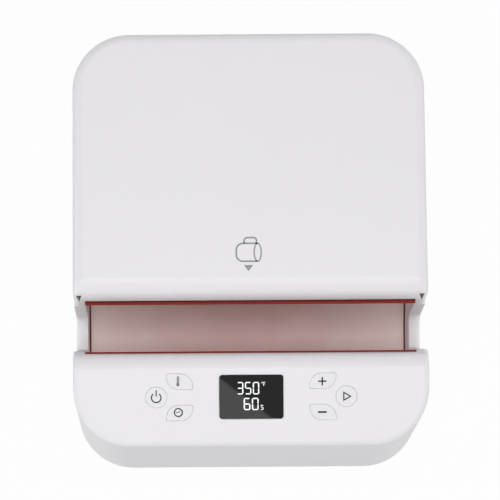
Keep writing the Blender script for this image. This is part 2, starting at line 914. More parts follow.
@dataclass
class Housing:
    """The tub with its sloped deck, its thick cheeks, and the base plate and feet under it."""

    plan: Plan = field(default_factory=Plan)
    deck: DeckFrame = field(default_factory=DeckFrame)
    wall: float = 2.6
    floor: float = 4.0
    underside_radius: float = 14.0
    edge_radius: float = 2.5
    rear_edge_radius: float = 0.4
    parting: float = 98.0
    crown_height: float = 120.4966
    crown_y: float = -66.1
    crown_run: float = 9.0
    crown_drop: float = 7.62
    deck_thickness: float = 2.4
    rear_wall: float = 2.5
    rear_edge_depth: float = 0.3
    cheek_spread: Flat = (3.0, 14.0)
    notch_floor: float = 57.0
    notch_flank: float = 10.8
    notch_heel: float = 8.0
    key_gap: float = 0.08
    key_chamfer: float = 0.05
    foot_place: Flat = (60.1, 75.4)
    vent_centre: Flat = (40.0, 42.0)
    vent_size: Flat = (2.4, 22.0)
    vent_pitch: float = 6.0
    inlet: Flat = (-52.1, 42.0)

    @property
    def deck_rear(self) -> float:
        """Where the deck's rounded rear edge ends."""
        return self.crown_y + self.crown_run

    def deck_height(self, y: float) -> float:
        """Height of the deck over a place: the slope, then its rounded rear edge."""
        if y <= self.crown_y:
            return self.deck.front_height + (y - self.deck.front) * math.tan(self.deck.angle)
        share = min((y - self.crown_y) / self.crown_run, 1.0)
        return self.crown_height - self.crown_drop * (1 - math.sqrt(1 - share * share))

    def top(self, y: float) -> float:
        """Height of the tub's upper edge: deck, the dip of the cheeks, and the parting."""
        if y <= self.deck_rear:
            return self.deck_height(y)
        end = self.deck_height(self.deck_rear)
        if y < self.deck_rear + self.notch_flank:
            share = (y - self.deck_rear) / self.notch_flank
            return self.notch_floor + (end - self.notch_floor) * (1 + math.cos(math.pi * share)) / 2
        heel = LIP_Y - self.notch_heel
        if y < heel:
            return self.notch_floor
        if y <= LIP_Y:
            share = min((y - heel) / self.notch_heel, 1.0)
            return self.notch_floor + self.notch_heel * (1 - math.sqrt(1 - share * share))
        return self.parting

    def places(self) -> list[float]:
        """Places along the side where the upper edge bends."""
        turns = quarter(20)
        places = spread(self.deck_rear, self.deck_rear + self.notch_flank, len(turns) - 1)[1:]
        runs = ((self.crown_y, self.crown_run), (LIP_Y - self.notch_heel, self.notch_heel))
        for start, run in runs:
            places += [start + run * math.sin(turn) for turn in turns]
        return [*places, LIP_Y + 0.1]

    def edge(self, y: float) -> float:
        """Radius of the upper edge over a place."""
        return self.rear_edge_radius if y > LIP_Y else self.edge_radius

    def room(self, high: Height, margin: float = 0.0) -> Piece:
        """The room inside the walls, up to a height, keeping a margin from them."""
        inset = self.wall + margin
        levels = foot_levels(self.floor + inset, self.underside_radius - inset, inset)
        return self.plan.loft("room", [*levels, Level(lambda point: inset, high)], self.places())

    def hollow(self) -> Piece:
        """The tub's inside, left full where the cheeks stand."""
        rear_front = self.deck_rear - self.rear_wall
        foot = self.deck_height(self.deck_rear) - self.rear_edge_depth
        depth = self.deck_thickness / math.cos(self.deck.angle)
        inside = self.room(lambda y: foot)
        for high, front, rear in (
                (lambda y: self.deck_height(min(y, rear_front)) - depth, -FAR, rear_front),
                (lambda y: 140.0, self.deck_rear, FAR)):
            strip = Draft().box((-FAR, front, -FAR), (FAR, rear, FAR))
            part = carve(self.room(high), strip, Cut.SHARED)
            carve(inside, part, Cut.JOINED)
        for low, high in ((-FAR, -CHEEK_INNER), (CHEEK_INNER, FAR)):
            carve(inside, Draft().box(
                (low, self.deck_rear - self.cheek_spread[0], self.floor + self.underside_radius),
                (high, LIP_Y + self.cheek_spread[1], FAR)))
        ends = [even_level(self.underside_radius, height) for height in (0.0, 12.0)]
        return carve(inside, self.plan.loft("bottom", ends), Cut.JOINED)

    def opening(self, outline: Shape) -> Draft:
        """A cutter for a hole in the deck, with a fine chamfer at its rim.

        Args:
            outline: gives the hole's outline for a margin.

        Returns:
            The cutter.
        """
        near, far = self.key_gap, self.key_gap + self.key_chamfer
        rings = [(near, -5.0), (near, -self.key_chamfer), (far, 0.0), (far, 3.0)]
        return self.deck.rings([(outline(margin), w) for margin, w in rings])

    def shell(self, outlines: Sequence[Shape]) -> None:
        """The tub in one piece, with the holes for keys, window, vents and inlet.

        Args:
            outlines: the outlines of the holes in the deck.
        """
        levels = rounded_levels(self.floor, self.underside_radius, self.top, self.edge)
        tub = self.plan.loft("housing_tub", levels, self.places())
        carve(tub, self.hollow())
        for outline in outlines:
            carve(tub, self.opening(outline))
        x, z = self.vent_centre
        wide, high = self.vent_size
        holes = [(x + slot * self.vent_pitch, z, wide, high, wide / 2 - 0.01, 96.0)
                 for slot in range(-3, 4)]
        holes += [(*self.inlet, 30.6, 22.6, 1.2, 101.1), (*self.inlet, 26.6, 18.6, 1.2, 86.0)]
        for *shape, low in holes:
            carve(tub, Draft().prism(rounded_box(*shape), low, 108.0, facing))
        dress(tub, HOUSING, "base", "body_shell", angle=32.0)

    def feet(self) -> None:
        """Four rubber feet with a rounded rim and a sunk middle."""
        profile = solid((4.6, 0.9), (5.2, 0.3), (5.7, 0.0), (6.6, 0.0), (7.4, 0.35), (7.8, 1.0),
                        (8.0, 1.8), (8.0, 4.0))
        x, y = self.foot_place
        for row, sy in (("front", -1), ("rear", 1)):
            for side, sx in (("left", -1), ("right", 1)):
                name = f"foot_{row}_{side}"
                foot = Draft().turned(profile, (sx * x, sy * y, 0.0), Axis.UPRIGHT, 64)
                foot.dress(name + "_rubber", RUBBER, "base", name, angle=40.0)

    def base(self) -> None:
        """The base plate with a sunk rim line and eight screws."""
        plate = self.plan.loft("base_cover", [
            even_level(14.9, 4.0), even_level(14.3, 4.6), even_level(14.3, 6.6)])
        bore = solid((3.4, 0.0), (3.4, 5.6))
        screw = solid((2.9, 5.6), (2.9, 4.9), (2.4, 4.4), (0.9, 4.3), (0.8, 5.1))
        heads = Draft()
        for x in (-66.0, 66.0):
            for y in (-52.0, -14.0, 52.0, 14.0):
                carve(plate, Draft().turned(bore, (x, y, 0.0), Axis.UPRIGHT))
                heads.turned(screw, (x, y, 0.0), Axis.UPRIGHT, 32)
        dress(plate, GREY, "base", "base_plate")
        heads.dress("base_screws", DARK_STEEL, "base", angle=35.0)


@dataclass
class Lid:
    """The cap over the rear of the press, with its rounded lip and its printed mark."""

    plan: Plan = field(default_factory=lambda: Plan(front=LIP_Y, front_radius=3.0))
    wall: float = 2.4
    height: float = 125.98
    low: float = 98.4
    lip_radius: float = 10.0
    lip_thickness: float = 10.0
    edge_radius: float = 5.0
    lip_edge_radius: float = 1.2
    opening_height: float = 15.6
    pocket: Point = (85.1, -30.5, 120.5)
    pocket_size: Flat = (2.7, 3.2)
    mark_line: float = 0.85
    mark_lift: float = 0.015

    def top(self, y: float) -> float:
        """Height of the lid over a place: the round of the lip, then level."""
        lift = min(y - LIP_Y, self.lip_radius)
        share = 1 - lift / self.lip_radius
        return self.height - self.lip_thickness * (1 - math.sqrt(max(1 - share * share, 0.0)))

    def edge(self, y: float) -> float:
        """Radius of the upper edge over a place."""
        share = min(max((y - LIP_Y) / self.lip_radius, 0.0), 1.0)
        return self.lip_edge_radius + (self.edge_radius - self.lip_edge_radius) * share

    def cap(self) -> None:
        """The lid itself."""
        places = [LIP_Y + self.lip_radius * (1 - math.cos(turn)) for turn in quarter(24)[1:]]
        cap = self.plan.loft("lid_cap", rounded_levels(self.low, 0.4, self.top, self.edge), places)
        carve(cap, self.plan.loft("inner", [
            even_level(self.wall, self.low - 2),
            Level(lambda point: self.wall, lambda y: self.top(y + self.wall) - self.wall)], places))
        carve(cap, Draft().box(
            (-CHEEK_INNER, LIP_Y - 2, self.low - 2),
            (CHEEK_INNER, LIP_Y + self.wall + 2, self.low + self.opening_height)))
        for side in (-1, 1):
            carve(cap, self.pocket_cut(side))
        dress(cap, HOUSING, "carriage", "lid", angle=32.0)

    def pocket_cut(self, side: int) -> Draft:
        """The three-sided pocket that runs down into a corner of the lip, left -1 and right 1."""
        x, y, z = self.pocket
        wide, long = self.pocket_size
        lean = math.radians(10.0)

        def place(u: float, v: float, w: float) -> Point:
            return (side * x + u, y + v * math.cos(lean) - w * math.sin(lean),
                    z + v * math.sin(lean) + w * math.cos(lean))

        return Draft().prism([(-wide / 2, long / 2), (0.0, -long / 2), (wide / 2, long / 2)],
                             -11.0, 4.0, place)

    def mark(self) -> None:
        """The printed mark: a mug on its side with its handle up, and a pointer to the mouth."""
        def place(u: float, v: float, w: float) -> Point:
            return u, v, self.height + w

        low, high = -0.2, self.mark_lift
        draft = Draft()
        body = [(3.7, -4.1), *arc(-3.6, -7.4, 3.3, 90, 180, 12),
                *arc(-3.6, -9.8, 3.3, 180, 270, 12), (3.7, -13.1)]
        draft.ribbon(body, self.mark_line, low, high, place)
        mouth = [(3.7 + 1.75 * x, -8.6 + 4.5 * y) for x, y in arc(0, 0, 1, 0, 354, 59)]
        draft.ribbon(mouth, self.mark_line * 0.8, low, high, place, closed=True)
        handle = [(-2.9, -4.2), *arc(-1.2, -3.0, 1.8, 180, 90, 8), *arc(1.6, -2.8, 1.6, 90, 0, 8),
                  (3.0, -4.2)]
        draft.ribbon(handle, self.mark_line, low, high, place)
        draft.prism([(-3.2, -15.0), (1.4, -15.0), (-0.9, -18.1)], low, high, place)
        draft.dress("mug_mark", LID_PRINT, "carriage", angle=None)


HALVES = (("front", -1, "base"), ("rear", 1, "carriage"))


@dataclass
class Wrap:
    """The heated wrap round the mug: cloth lining, silicone mat and metal jaw, in two halves."""

    housing: Housing
    bend: float = 6.0
    mouth: float = 22.4
    split: float = math.radians(-43.0)
    slack: float = 0.5 / BORE
    half_length: float = 82.2
    mat_half_length: float = 82.34
    lining_half_length: float = 81.6
    lining_end: float = 0.08
    jaw: Flat = (2.6, 5.1)
    clearance: float = 0.3
    ceiling: float = 126.0
    steps: int = 72
    bend_steps: int = 12

    @property
    def reach(self) -> float:
        """Distance from the mug's axis to the centre of a lip's bend."""
        return BORE + self.bend

    @property
    def turn(self) -> float:
        """Angle at which the wrap ends and its lip bends upwards."""
        return math.acos((self.mouth / 2 + self.bend) / self.reach)

    def start(self, side: int) -> float:
        """Angle at which a half starts: 1 is the rear half and -1 the front half."""
        return self.split + self.slack / 2 if side > 0 else -math.pi - self.split + self.slack / 2

    def line(self, side: int, offset: float, end: float | None = None) -> Outline:
        """A line round the bore at a distance outside the lining's face.

        Args:
            side: 1 for the rear half, -1 for the front half.
            offset: the distance.
            end: the angle at which it stops short of the lip.

        Returns:
            Its points in Y and Z, from the split up to the mouth.
        """
        def point(radius: float, turn: float, base: Flat = (AXIS_Y, AXIS_Z)) -> Flat:
            return base[0] + side * radius * math.cos(turn), base[1] + radius * math.sin(turn)

        last = self.turn if end is None else end
        points = [point(BORE + offset, turn) for turn in spread(self.start(side), last, self.steps)]
        if end is None:
            lip = point(self.reach, self.turn)
            points += [point(self.bend - offset, turn, lip)
                       for turn in spread(math.pi + self.turn, math.pi, self.bend_steps)[1:]]
        return points

    def layer(self, name: str, side: int, near: float, far: float, half_length: float, edge: float,
              end: float | None = None) -> Piece:
        """A layer of the wrap between two distances outside the lining's face.

        Args:
            name: the piece's name.
            side: 1 for the rear half, -1 for the front half.
            near: its inner distance.
            far: its outer distance.
            half_length: half its length along the mug.
            edge: the rounding of its edges.
            end: the angle at which it stops short of the lip.

        Returns:
            The layer, kept inside the tub's walls.
        """
        outline = self.line(side, near, end) + list(reversed(self.line(side, far, end)))
        places = spread(-half_length, half_length, 24)
        piece = Draft().skin([[(x, y, z) for y, z in outline] for x in places]).piece(name)
        soften(piece, edge)
        if side < 0:
            self.keep_inside(piece)
        return piece

    def keep_inside(self, piece: Piece) -> None:
        """Takes off what would touch the tub's walls."""
        carve(piece, self.housing.room(lambda y: self.ceiling, self.clearance), Cut.SHARED)

    def linings(self) -> None:
        """The two cloth linings, stretched over the mats."""
        end = self.turn - self.lining_end
        for half, side, body in HALVES:
            cloth = self.layer(f"lining_{half}", side, 0.0, 0.5, self.lining_half_length, 0.12, end)
            dress(cloth, LINING, body, f"{half}_lining", angle=50.0, weighted=False)
            face = self.line(side, 0.25, end)
            length = sum(math.dist(a, b) for a, b in zip(face, face[1:]))

    def mats(self) -> None:
        """The two silicone mats that hold the heater."""
        for half, side, body in HALVES:
            mat = self.layer(f"mat_{half}", side, 0.55, 2.3, self.mat_half_length, 0.3)
            dress(mat, SILICONE, body, f"{half}_mat", angle=50.0, weighted=False)

    def front_jaw(self) -> None:
        """The fixed cradle on four ribs."""
        near, far = self.jaw
        end = math.acos((self.mouth / 2 + far + self.clearance) / (BORE + near))
        jaw = self.layer("jaw_front", -1, near, far, self.half_length, 0.3, end)
        bore = Draft().skin([Axis.ACROSS.ring(46.0, (0.0, AXIS_Y, AXIS_Z), x, 128)
                             for x in (-100.0, 100.0)]).piece("bore")
        for x in (-73.0, -28.0, 28.0, 73.0):
            rear = -30.2 if abs(x) > Drive.block_half else AXIS_Y
            low, high = (x - 1.5, AXIS_Y - 40.0, FLOOR_LEVEL), (x + 1.5, rear, 56.0)
            rib = carve(Draft().block(low, high, 0.5).piece("rib"), bore, keep=True)
            carve(jaw, rib, Cut.JOINED)
        bpy.data.objects.remove(bore)
        self.keep_inside(jaw)
        dress(jaw, ALUMINIUM, "base", "front_jaw", angle=35.0)

    def rear_jaw(self) -> None:
        """The moving half shell with its flange and its posts up to the lid."""
        near, far = self.jaw
        half, top = self.half_length, AXIS_Z + self.reach * math.sin(self.turn)
        jaw = self.layer("jaw_rear", 1, near, far, half, 0.3)
        front = AXIS_Y + self.mouth / 2 + (near + far) / 2
        flange = Draft().block((-half, front, top - 2.5), (half, front + 26.0, top), 0.3)
        carve(jaw, flange, Cut.JOINED)
        post = solid((4.5, top - 1.25), (4.5, 122.9), (4.1, 123.3))
        for x in (-58.0, 58.0):
            carve(jaw, Draft().turned(post, (x, front + 17.0, 0.0), Axis.UPRIGHT), Cut.JOINED)
        dress(jaw, ALUMINIUM, "carriage", "rear_jaw", angle=35.0)


class Key(Enum):
    """The six keys of the panel: node name, side and level."""

    POWER = ("power_button", -1, 0)
    TEMPERATURE = ("temperature_button", -1, 1)
    TIMER = ("timer_button", -1, -1)
    PLUS = ("plus_button", 1, 1)
    MINUS = ("minus_button", 1, -1)
    START = ("start_button", 1, 0)

    @property
    def node(self) -> str:
        """The key's solid."""
        return self.value[0]

    @property
    def body(self) -> str:
        """The body that the key moves with."""
        return self.part("key")

    def centre(self, panel: Panel) -> Flat:
        """The key's centre on the deck."""
        _, side, level = self.value
        if level == 0:
            return side * panel.round_place, panel.level
        return side * panel.leaf_place, panel.level + level * panel.leaf_spread

    def outline(self, panel: Panel, grow: float) -> Outline:
        """The key's outline on the deck, grown by a margin."""
        _, side, level = self.value
        u, v = self.centre(panel)
        if level == 0:
            return arc(u, v, panel.round_radius + grow, 0, 355, 71)
        bulge, tip = panel.leaf_round + grow, panel.leaf_tip + grow
        radii = (bulge, tip, bulge, tip) if side * level < 0 else (tip, bulge, tip, bulge)
        wide, long = panel.leaf_width + 2 * grow, panel.leaf_length + 2 * grow
        return rounded_box(u, v, wide, long, radii, 16)

    def part(self, ending: str) -> str:
        """The name of something that belongs to the key."""
        return self.node.replace("button", ending)


@dataclass
class Panel:
    """The control panel: six keys with their marks, the window and what it shows."""

    deck: DeckFrame = field(default_factory=DeckFrame)
    level: float = 24.4
    round_radius: float = 5.2
    round_place: float = 47.0
    leaf_width: float = 13.0
    leaf_length: float = 7.8
    leaf_place: float = 35.4
    leaf_spread: float = 7.75
    leaf_round: float = 6.2
    leaf_tip: float = 0.6
    proud: float = 0.3
    edge: float = 0.28
    flange_top: float = -2.7
    flange_low: float = -3.2
    flange_width: float = 0.8
    window: Flat = (32.1, 22.3)
    window_radius: float = 1.8
    window_recess: float = 0.1
    window_depth: float = 1.7
    rim: float = 0.15
    mark_lift: float = 0.012

    def window_outline(self, grow: float) -> Outline:
        """The window's outline on the deck, grown by a margin."""
        wide, long = self.window
        return rounded_box(0.0, self.level, wide + 2 * grow, long + 2 * grow,
                           self.window_radius + grow)

    def outlines(self) -> list[Shape]:
        """The outlines of all holes in the deck."""
        keys = [lambda grow, key=key: key.outline(self, grow) for key in Key]
        return [*keys, self.window_outline]

    def keys(self) -> None:
        """The six keys, each with a soft upper edge and a flange under the deck."""
        rings = [(self.flange_width, self.flange_low), (self.flange_width, self.flange_top),
                 (0.0, self.flange_top)]
        rings += [(-self.edge * (1 - math.cos(turn)), self.proud - self.edge * (1 - math.sin(turn)))
                  for turn in quarter(5)]
        for key in Key:
            cap = self.deck.rings([(key.outline(self, grow), w) for grow, w in rings])
            cap.dress(key.part("key_cap"), KEY_PLASTIC, key.body, key.node, angle=35.0)

    def marks(self) -> None:
        """The printed marks of the six keys, as filled shapes and as lines of a width."""
        left, right, level, tip, arm = -self.round_place, self.round_place, self.level, 2.05, 0.36
        u, v = 35.06, 31.96
        plus = [(u + a, v + b) for a, b in (
            (-arm, -tip), (arm, -tip), (arm, -arm), (tip, -arm), (tip, arm), (arm, arm),
            (arm, tip), (-arm, tip), (-arm, arm), (-tip, arm), (-tip, -arm), (-arm, -arm))]
        bulb = [rounded_box(-36.25, 32.5, 1.15, 5.0, (0.55, 0.55, 0.5, 0.5), 5),
                arc(-36.25, 30.75, 0.85, 0, 345, 23)]
        fills = {Key.TEMPERATURE: bulb, Key.PLUS: [plus]}
        lines = {
            Key.POWER: [(arc(left, level - 0.15, 2.35, 127, 413, 36), 0.62, False),
                        ([(left, level + 0.5), (left, level + 3.7)], 0.55, False)],
            Key.TEMPERATURE: [([(-35.4, 34.1 - 0.9 * step), (-34.9, 34.1 - 0.9 * step)], 0.3, False)
                              for step in range(3)],
            Key.TIMER: [(arc(-36.11, 16.9, 1.97, 0, 350, 35), 0.62, True),
                        ([(-37.46, 16.95), (-36.01, 16.95), (-35.26, 17.65)], 0.36, False)],
            Key.MINUS: [([(32.88, 16.65), (37.18, 16.65)], 0.88, False)],
            Key.START: [([(right - 1.35, level - 1.95), (right + 2.0, level),
                          (right - 1.35, level + 1.95)], 0.62, True)],
        }
        low, high, place = self.proud - 0.1, self.proud + self.mark_lift, self.deck.place
        for key in Key:
            draft = Draft()
            for outline in fills.get(key, ()):
                draft.prism(outline, low, high, place)
            for line, width, closed in lines.get(key, ()):
                draft.ribbon(line, width, low, high, place, closed)
            finish = LID_PRINT if key is Key.TEMPERATURE else PRINT
            draft.dress(key.part("mark"), finish, key.body, angle=None)

    def display(self) -> None:
        """The window, its bright rim, and the digits under it."""
        top = -self.window_recess
        rings = [(0.0, top - self.window_depth + 0.1), (0.0, top - 0.08), (-0.08, top)]
        pane = self.deck.rings([(self.window_outline(grow - self.rim), w) for grow, w in rings])
        pane.dress("window_pane", GLASS, "base", "display_window", angle=60.0)
        inner, outer = self.window_outline(-self.rim + 0.02), self.window_outline(0.0)
        levels = [(inner, top - 1.0), (outer, top - 1.0), (outer, 0.0), (inner, 0.0)]
        self.deck.rings(levels, closed=True).dress("window_bezel", RIM, "base", angle=60.0)
        self.digits(top)

    def digits(self, top: float) -> None:
        """The set temperature and time, as lit segments.

        Args:
            top: the level of the window's face.
        """
        segments = {"a": (0, 1, 0), "b": (1, 0.5, 1), "c": (1, -0.5, 1), "d": (0, -1, 0),
                    "e": (-1, -0.5, 1), "f": (-1, 0.5, 1), "g": (0, 0, 0)}
        lit = {"3": "abcdg", "5": "acdfg", "0": "abcdef", "6": "acdefg"}
        draft = Draft()

        low, high, place = top - 0.1, top + 0.008, self.deck.place

        def segment(u: float, v: float, length: float, thick: float, upright: int) -> None:
            half, slim = length / 2, thick / 2
            line = [(-half, 0.0), (-half + slim, -slim), (half - slim, -slim), (half, 0.0),
                    (half - slim, slim), (-half + slim, slim)]
            if upright:
                line = [(-y, x) for x, y in line]
            draft.prism([(u + x, v + y) for x, y in line], low, high, place)

        gap = 0.75
        for text, left, right, foot, head in (("350", -7.07, 3.91, 25.6, 31.8),
                                              ("60", -3.81, 3.57, 17.8, 23.9)):
            wide = (right - left - gap * (len(text) - 1)) / len(text)
            thick = wide * 0.18
            half_w, half_h = (wide - thick) / 2, (head - foot - thick) / 2
            for index, char in enumerate(text):
                u, v = left + wide / 2 + index * (wide + gap), (foot + head) / 2
                for sx, sy, upright in (segments[name] for name in lit[char]):
                    length = half_h if upright else 2 * half_w
                    segment(u + sx * half_w, v + sy * half_h, length - 0.12, thick, upright)
        for line, width, closed in (
                (arc(5.25, 31.45, 0.28, 0, 330, 11), 0.16, True),
                ([(6.05, 29.75), (6.05, 31.6), (6.95, 31.6)], 0.26, False),
                ([(6.05, 30.75), (6.75, 30.75)], 0.24, False),
                ([*arc(5.3, 19.7, 0.52, 20, 250, 10), *arc(5.3, 18.62, 0.56, 70, -160, 10)],
                 0.3, False)):
            draft.ribbon(line, width, low, high, place, closed)
        draft.dress("window_digits", LIT, "base", angle=None)


@dataclass(frozen=True)
class Lamp:
    """A soft square lamp: its place, the length of its side, its power in watts and its aim."""

    name: str
    place: Point
    size: float
    power: float
    target: Point = (0.0, -40.0, 100.0)
    roll: float = 0.0

    def build(self) -> None:
        """Hangs the lamp."""
        data = bpy.data.lights.new(self.name, "AREA")
        data.shape = "SQUARE"
        data.size = self.size * MM
        data.energy = self.power
        obj = bpy.data.objects.new(self.name, data)
        obj.location = Vector(self.place) * MM
        aim = (Vector(self.target) - Vector(self.place)).normalized()
        turn = Quaternion((0.0, 0.0, 1.0), math.radians(self.roll))
        obj.rotation_euler = (aim.to_track_quat("-Z", "Y") @ turn).to_euler()
        bpy.context.scene.collection.objects.link(obj)


@dataclass
class Studio:
    """The plain floor, the soft light and the camera."""

    floor_drop: float = 0.1
    paper: float = 0.55
    paper_seen: float = 0.97
    camera_place: Point = (-31.8, -292.7, 1744.9)
    elevation: float = math.radians(80.0)
    yaw: float = math.radians(-0.4)
    lens: float = 239.0
    sensor: float = 36.0
    clip: Flat = (0.05, 20.0)
    shift: Flat = (0.12, 0.0)
    floor_size: float = 3000.0
    ambient: float = 0.23
    lamps: tuple[Lamp, ...] = (
        Lamp("overhead_lamp", (0.0, -210.0, 1950.0), 560.0, 12.6),
        Lamp("front_lamp", (-72.0, -664.6, 1540.0), 300.0, 0.7, (-72.0, -664.6, 0.0), roll=-39.1),
        Lamp("left_front_lamp", (-350.0, -750.0, 1500.0), 400.0, 0.6),
        Lamp("right_front_lamp", (350.0, -750.0, 1500.0), 400.0, 0.4),
        Lamp("left_fill_lamp", (-550.0, -1150.0, 600.0), 500.0, 3.4),
        Lamp("right_fill_lamp", (550.0, -1150.0, 600.0), 500.0, 1.7),
        Lamp("rear_lamp", (-300.0, 700.0, 1300.0), 800.0, 1.2),
        Lamp("rear_fill_lamp", (350.0, 1150.0, 500.0), 500.0, 2.4),
        Lamp("left_lamp", (-1150.0, -45.0, 450.0), 400.0, 3.6),
        Lamp("right_lamp", (1150.0, -45.0, 450.0), 400.0, 3.6),
    )

    def camera(self) -> None:
        """The camera at the photograph's angle."""
        data = bpy.data.cameras.new("camera")
        data.lens = self.lens
        data.sensor_width = self.sensor
        data.shift_x, data.shift_y = self.shift
        data.clip_start, data.clip_end = self.clip
        obj = bpy.data.objects.new("camera", data)
        cos, sin = math.cos(self.elevation), math.sin(self.elevation)
        spin = Matrix.Rotation(self.yaw, 4, "Z")
        look = Matrix(((1, 0, 0, 0), (0, sin, -cos, 0), (0, cos, sin, 0), (0, 0, 0, 1)))
        obj.matrix_world = Matrix.Translation(Vector(self.camera_place) * MM) @ spin @ look
        bpy.context.scene.collection.objects.link(obj)
        bpy.context.scene.camera = obj

    def floor(self) -> None:
        """A plain pale floor that keeps the press's shadow."""
        half = self.floor_size / 2
        plane = Draft()
        corners = ((-half, -half), (half, -half), (half, half), (-half, half))
        plane.add([(*corner, -self.floor_drop) for corner in corners], [(0, 1, 2, 3)])
        obj = plane.piece("floor")
        material = bpy.data.materials.new("floor_paper")
        material.use_nodes = True
        tree = material.node_tree
        shader = tree.nodes["Principled BSDF"]
        shader.inputs["Base Color"].default_value = (self.paper, self.paper, self.paper, 1.0)
        shader.inputs["Roughness"].default_value = 0.9
        shader.inputs["Specular IOR Level"].default_value = 0.1
        glow = add_node(tree, "ShaderNodeEmission", {"Color": WHITE, "Strength": 1.0})
        mix = add_node(tree, "ShaderNodeMixShader", {1: shader.outputs[0], 2: glow.outputs[0]})
        tree.links.new(self.seen(tree, self.paper_seen), mix.inputs[0])
        tree.links.new(mix.outputs[0], tree.nodes["Material Output"].inputs["Surface"])
        obj.data.materials.append(material)

    def seen(self, tree: bpy.types.NodeTree, share: float) -> Socket:
        """A share for rays straight from the camera, a mirror or a glass, else nothing."""
        path = add_node(tree, "ShaderNodeLightPath")
        total = path.outputs["Is Camera Ray"]
        for label in ("Is Glossy Ray", "Is Transmission Ray"):
            total = add_node(tree, "ShaderNodeMath", {0: total, 1: path.outputs[label]},
                             operation="MAXIMUM").outputs[0]
        return add_node(tree, "ShaderNodeMath", {0: total, 1: share},
                        operation="MULTIPLY").outputs[0]

    def world(self) -> None:
        """An even surround that shows as white."""
        world = bpy.data.worlds.new("surround")
        world.use_nodes = True
        tree = world.node_tree
        back = tree.nodes["Background"]
        back.inputs["Color"].default_value = WHITE
        gain = self.seen(tree, 1.0 - self.ambient)
        total = add_node(tree, "ShaderNodeMath", {0: gain, 1: self.ambient}, operation="ADD")
        tree.links.new(total.outputs[0], back.inputs["Strength"])
        bpy.context.scene.world = world

    def build(self) -> None:
        """The whole studio."""
        bpy.context.scene.view_settings.view_transform = "Standard"
        self.camera()
        self.floor()
        self.world()
        for lamp in self.lamps:
            lamp.build()


@dataclass
class Gear:
    """A spur gear of the drive, with involute teeth, a hub and a bore."""

    name: str
    node: str
    body: str
    finish: Finish
    teeth: int
    phase: float
    centre: Flat
    web: Flat | None = None
    module: float = 0.8
    backlash: float = 0.2
    pressure_angle: float = 20.0
    front: float = 86.6
    rear: float = 92.6
    hub_end: float = 94.6
    bore: float = 2.8
    hub: float = 5.2
    relief: float = 0.25

    def teeth_line(self) -> list[Flat]:
        """The teeth's outline as radius and angle."""
        pitch = self.module * self.teeth / 2
        base = pitch * math.cos(math.radians(self.pressure_angle))
        root, tip = pitch - 1.25 * self.module, pitch + self.module

        def involute(radius: float) -> float:
            ratio = math.acos(min(base / radius, 1.0))
            return math.tan(ratio) - ratio

        half_pitch = math.pi / (2 * self.teeth) - self.backlash / (2 * pitch) + involute(pitch)
        flank = [root, max(base, root), pitch, tip]
        halves = [half_pitch - involute(max(radius, base)) for radius in flank]
        line: list[Flat] = []
        for tooth in range(self.teeth):
            middle = self.phase + 2 * math.pi * tooth / self.teeth
            line += [(radius, middle - half) for radius, half in zip(flank, halves)]
            line += [(radius, middle + half) for radius, half in reversed(list(zip(flank, halves)))]
        return line

    def build(self) -> None:
        """Cuts the gear."""
        line = self.teeth_line()
        x, z = self.centre

        def ring(y: float, radius: float | None = None, inset: float = 0.0) -> Ring:
            reaches = [(radius or reach - inset, turn) for reach, turn in line]
            return [(x - reach * math.cos(turn), y, z + reach * math.sin(turn))
                    for reach, turn in reaches]

        front, rear, end, sunk, slope = self.front, self.rear, self.hub_end, 1.4, 0.4
        rings = [ring(front, self.bore)]
        if self.web:
            low, high = self.web
            rings += [ring(front, low), ring(front + sunk, low + slope),
                      ring(front + sunk, high - slope), ring(front, high)]
        rings += [ring(front, inset=self.relief), ring(front + self.relief),
                  ring(rear - self.relief), ring(rear, inset=self.relief)]
        if self.web:
            rings += [ring(rear, high), ring(rear - sunk, high - slope),
                      ring(rear - sunk, self.hub)]
        else:
            rings.append(ring(rear, self.hub))
        rings += [ring(end - 0.3, self.hub), ring(end, self.hub - 0.3), ring(end, self.bore)]
        Draft().skin(rings, closed=True).dress(self.name, self.finish, self.body, self.node,
                                               angle=25.0)


